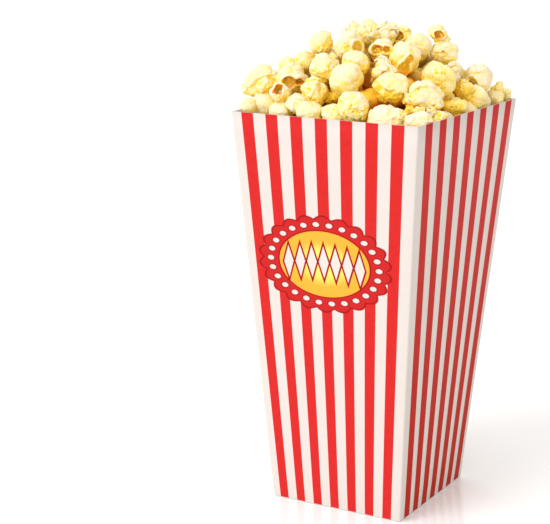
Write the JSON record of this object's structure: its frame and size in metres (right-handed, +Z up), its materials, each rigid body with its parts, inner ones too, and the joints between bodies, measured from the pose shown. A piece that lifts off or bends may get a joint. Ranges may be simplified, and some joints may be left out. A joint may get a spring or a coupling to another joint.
{
  "type": "bucket of popcorn",
  "caption": "Square paperboard carton with red and white stripes, leaning outwards to its open rim and heaped above it with popped butter popcorn.",
  "frame": {"origin": "on the ground, under the middle of the carton's rim", "axes": "+Z up, -Y out of the carton's front panel, which carries the badge, +X to that panel's right"},
  "size_m": [0.1048, 0.102, 0.2432],
  "materials": {
    "carton_board": "coated paperboard printed with red stripes on warm white, satin",
    "popped_corn": "matt, cream with butter-yellow creases"
  },
  "bodies": {
    "root": {"carton": "carton_board", "popcorn": "popped_corn"}
  },
  "joints": []
}
